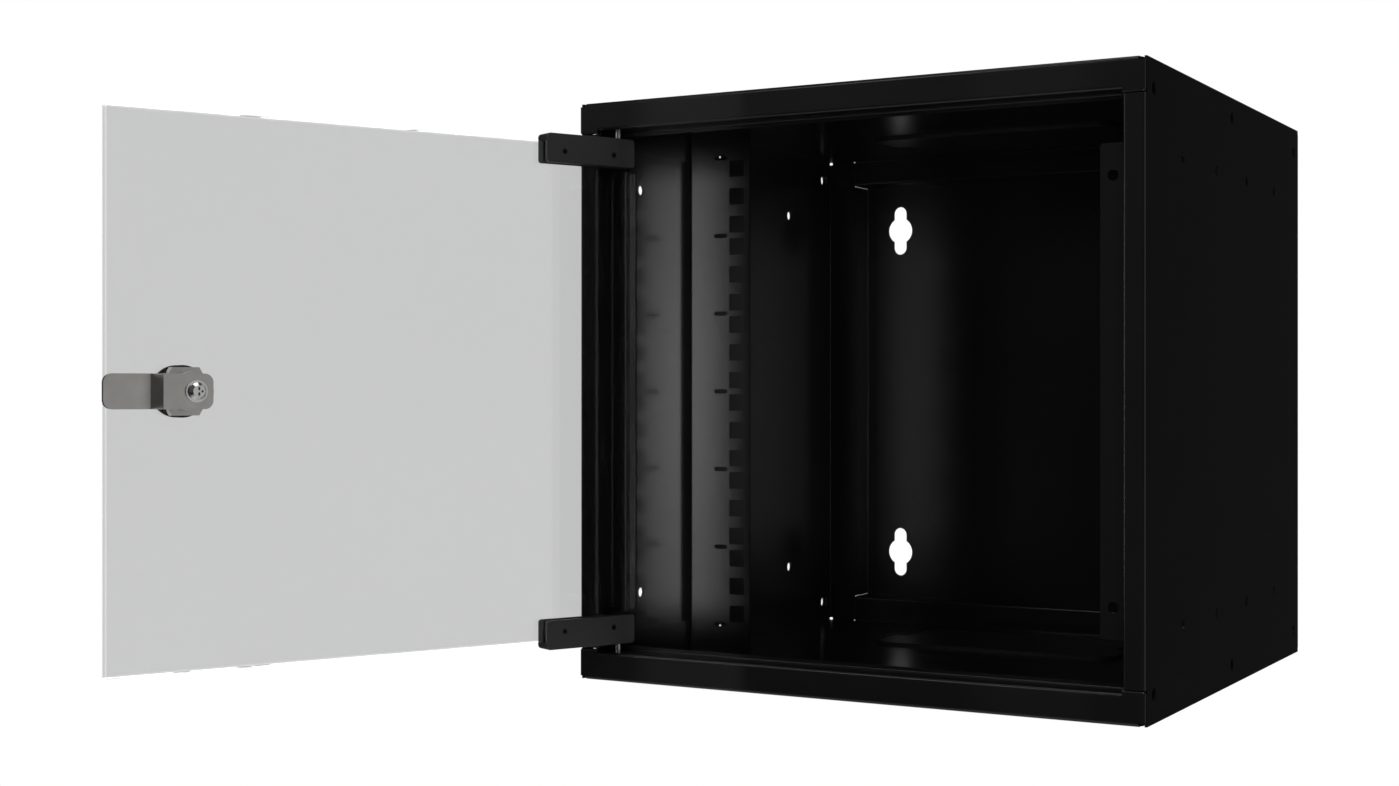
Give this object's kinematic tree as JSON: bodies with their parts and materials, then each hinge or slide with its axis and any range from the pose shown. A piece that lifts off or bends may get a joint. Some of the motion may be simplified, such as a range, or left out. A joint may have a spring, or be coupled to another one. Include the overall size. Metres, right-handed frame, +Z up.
{
  "type": "wall mount network cabinet",
  "caption": "Black sheet steel wall cabinet for ten inch rack equipment, with a hinged frameless glass door and cam lock, adjustable rack rails and keyholes in a set-back rear panel.",
  "frame": {"origin": "middle of the wall plane, the rear face of the back panel's plate, half way across and half way up", "axes": "+X to the right seen from the front, +Y into the wall, +Z up"},
  "size_m": [0.4036, 0.5681, 0.304],
  "materials": {
    "black_powder_coat": "fine textured black powder coat",
    "black_bracket": "satin black",
    "black_screws": "black oxide",
    "black_plastic": "moulded black plastic",
    "black_rubber": "black rubber",
    "plated_steel": "nickel plated",
    "tinted_glass": "clear toughened glass with a light grey tint"
  },
  "bodies": {
    "cabinet": {"top_panel": "black_powder_coat", "bottom_panel": "black_powder_coat", "left_side_panel": "black_powder_coat", "right_side_panel": "black_powder_coat", "back_panel": "black_powder_coat", "back_panel_rivets": "black_powder_coat", "top_cable_entry_cover": "black_plastic", "bottom_cable_entry_cover": "black_plastic", "left_rack_rail": "black_powder_coat", "right_rack_rail": "black_powder_coat", "left_rail_screws": "black_screws", "right_rail_screws": "black_screws", "upper_hinge_pin": "plated_steel", "lower_hinge_pin": "plated_steel"},
    "door": {"door_glass": "tinted_glass", "upper_hinge_bracket": "black_bracket", "lower_hinge_bracket": "black_bracket", "upper_glass_gasket": "black_rubber", "lower_glass_gasket": "black_rubber", "upper_set_screws": "black_screws", "lower_set_screws": "black_screws", "lock_housing": "plated_steel", "lock_gasket": "black_rubber", "lock_washer": "plated_steel", "lock_nut": "plated_steel"},
    "lock_cam": {"lock_plug": "plated_steel", "lock_cam": "plated_steel", "cam_washer": "plated_steel", "cam_screw": "plated_steel"}
  },
  "joints": [
    {"name": "door_hinge", "type": "hinge", "parent": "cabinet", "child": "door", "pos_m": [-0.1327, -0.3135, 0], "axis": [0, 0, 1], "range_deg": [-2.7, 115.3]},
    {"name": "lock_turn", "type": "hinge", "parent": "door", "child": "lock_cam", "pos_m": [-0.23415, -0.52813, 0], "axis": [0.9041, -0.4274, 0], "range_deg": [0, 90]}
  ]
}
